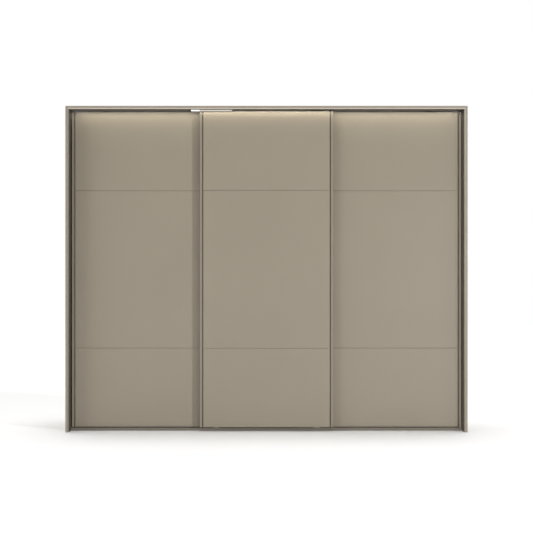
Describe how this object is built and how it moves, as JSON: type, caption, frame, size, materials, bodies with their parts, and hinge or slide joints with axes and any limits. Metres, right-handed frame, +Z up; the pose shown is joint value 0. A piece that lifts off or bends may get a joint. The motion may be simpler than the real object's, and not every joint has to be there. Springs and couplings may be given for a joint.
{
  "type": "sliding door wardrobe",
  "caption": "Wide wardrobe with hanging sliding doors in two planes, full height grip profiles, a surround frame with a light under its top, and a carcase with shelves and hanging rails.",
  "frame": {"origin": "on the floor, under the middle of the wardrobe", "axes": "+X to the right along the doors, +Y to the back, +Z up"},
  "size_m": [3, 0.69, 2.435],
  "materials": {
    "surround_lacquer": "silk matt taupe lacquer",
    "front_lacquer": "silk matt taupe lacquer",
    "profile_lacquer": "taupe powder coat on aluminium",
    "seal_brush": "short grey brown pile",
    "roller_nylon": "natural nylon",
    "zinc_steel": "zinc plated pressed steel",
    "track_aluminium": "natural anodised extrusion",
    "stop_rubber": "soft black bumper",
    "rail_chrome": "polished chrome plate",
    "back_board": "thin printed fibreboard",
    "fitting_plastic": "moulded plastic",
    "sensor_plastic": "white moulded cover",
    "light_tape": "white printed tape",
    "light_diffuser": "opal diffuser",
    "carcase_board": "melamine faced board"
  },
  "bodies": {
    "carcase": {"back_joint_strips": "fitting_plastic", "back_panels": "back_board", "bottom_panels": "carcase_board", "bottom_track": "track_aluminium", "cam_fittings": "zinc_steel", "carcase_side_left": "carcase_board", "carcase_side_right": "carcase_board", "frame_brackets": "zinc_steel", "frame_floor_strip": "surround_lacquer", "frame_left": "surround_lacquer", "frame_right": "surround_lacquer", "frame_top": "surround_lacquer", "hanging_rail_left": "rail_chrome", "hanging_rail_right": "rail_chrome", "hat_shelves": "carcase_board", "levelling_feet": "fitting_plastic", "light_channel": "track_aluminium", "light_diffuser": "light_diffuser", "light_driver": "fitting_plastic", "light_sensor_cover": "sensor_plastic", "light_tape": "light_tape", "middle_shelves": "carcase_board", "partition_left": "carcase_board", "partition_right": "carcase_board", "plinth_boards": "carcase_board", "rail_cups": "rail_chrome", "shelf_pins": "zinc_steel", "top_panels": "carcase_board", "top_track": "track_aluminium", "track_stops": "stop_rubber", "wall_brackets": "zinc_steel"},
    "left_door": {"left_door_brush_seals": "seal_brush", "left_door_fields": "front_lacquer", "left_door_guides": "roller_nylon", "left_door_handle_left": "profile_lacquer", "left_door_handle_right": "profile_lacquer", "left_door_hangers": "zinc_steel", "left_door_rails": "profile_lacquer"},
    "left_door_roller_left": {"left_door_roller_left": "roller_nylon"},
    "left_door_roller_right": {"left_door_roller_right": "roller_nylon"},
    "left_door_lift_lock": {"left_door_lift_lock": "zinc_steel"},
    "centre_door": {"centre_door_brush_seals": "seal_brush", "centre_door_fields": "front_lacquer", "centre_door_guides": "zinc_steel", "centre_door_handle_left": "profile_lacquer", "centre_door_handle_right": "profile_lacquer", "centre_door_hangers": "zinc_steel", "centre_door_rails": "profile_lacquer"},
    "centre_door_roller_left": {"centre_door_roller_left": "roller_nylon"},
    "centre_door_roller_right": {"centre_door_roller_right": "roller_nylon"},
    "right_door": {"right_door_brush_seals": "seal_brush", "right_door_fields": "front_lacquer", "right_door_guides": "roller_nylon", "right_door_handle_left": "profile_lacquer", "right_door_handle_right": "profile_lacquer", "right_door_hangers": "zinc_steel", "right_door_rails": "profile_lacquer"},
    "right_door_roller_left": {"right_door_roller_left": "roller_nylon"},
    "right_door_roller_right": {"right_door_roller_right": "roller_nylon"},
    "right_door_lift_lock": {"right_door_lift_lock": "zinc_steel"}
  },
  "joints": [
    {"name": "left_door_slide", "type": "slide", "parent": "carcase", "child": "left_door", "axis": [1, 0, 0], "range_m": [0, 0.93]},
    {"name": "centre_door_slide", "type": "slide", "parent": "carcase", "child": "centre_door", "axis": [1, 0, 0], "range_m": [-0.965, 0.965]},
    {"name": "right_door_slide", "type": "slide", "parent": "carcase", "child": "right_door", "axis": [1, 0, 0], "range_m": [-0.93, 0]},
    {"name": "left_door_roller_left_spin", "type": "hinge", "parent": "left_door", "child": "left_door_roller_left", "pos_m": [-1.349, -0.207, 2.3713], "axis": [0, 1, 0], "range_deg": [0, 3340]},
    {"name": "left_door_roller_right_spin", "type": "hinge", "parent": "left_door", "child": "left_door_roller_right", "pos_m": [-0.589, -0.207, 2.3713], "axis": [0, 1, 0], "range_deg": [0, 3340]},
    {"name": "centre_door_roller_left_spin", "type": "hinge", "parent": "centre_door", "child": "centre_door_roller_left", "pos_m": [-0.38, -0.168, 2.3713], "axis": [0, 1, 0], "range_deg": [-3460, 3460]},
    {"name": "centre_door_roller_right_spin", "type": "hinge", "parent": "centre_door", "child": "centre_door_roller_right", "pos_m": [0.38, -0.168, 2.3713], "axis": [0, 1, 0], "range_deg": [-3460, 3460]},
    {"name": "right_door_roller_left_spin", "type": "hinge", "parent": "right_door", "child": "right_door_roller_left", "pos_m": [0.589, -0.207, 2.3713], "axis": [0, 1, 0], "range_deg": [-3340, 0]},
    {"name": "right_door_roller_right_spin", "type": "hinge", "parent": "right_door", "child": "right_door_roller_right", "pos_m": [1.349, -0.207, 2.3713], "axis": [0, 1, 0], "range_deg": [-3340, 0]},
    {"name": "left_door_lock_turn", "type": "hinge", "parent": "left_door", "child": "left_door_lift_lock", "pos_m": [-0.551, -0.23025, 2.38], "axis": [0, 1, 0], "range_deg": [0, 90]},
    {"name": "right_door_lock_turn", "type": "hinge", "parent": "right_door", "child": "right_door_lift_lock", "pos_m": [0.551, -0.23025, 2.38], "axis": [0, 1, 0], "range_deg": [-90, 0]}
  ],
  "couplings": [
    {"joint": "left_door_roller_left_spin", "follows": "left_door_slide", "rad_per_m": 62.5},
    {"joint": "left_door_roller_right_spin", "follows": "left_door_slide", "rad_per_m": 62.5},
    {"joint": "centre_door_roller_left_spin", "follows": "centre_door_slide", "rad_per_m": 62.5},
    {"joint": "centre_door_roller_right_spin", "follows": "centre_door_slide", "rad_per_m": 62.5},
    {"joint": "right_door_roller_left_spin", "follows": "right_door_slide", "rad_per_m": 62.5},
    {"joint": "right_door_roller_right_spin", "follows": "right_door_slide", "rad_per_m": 62.5}
  ]
}
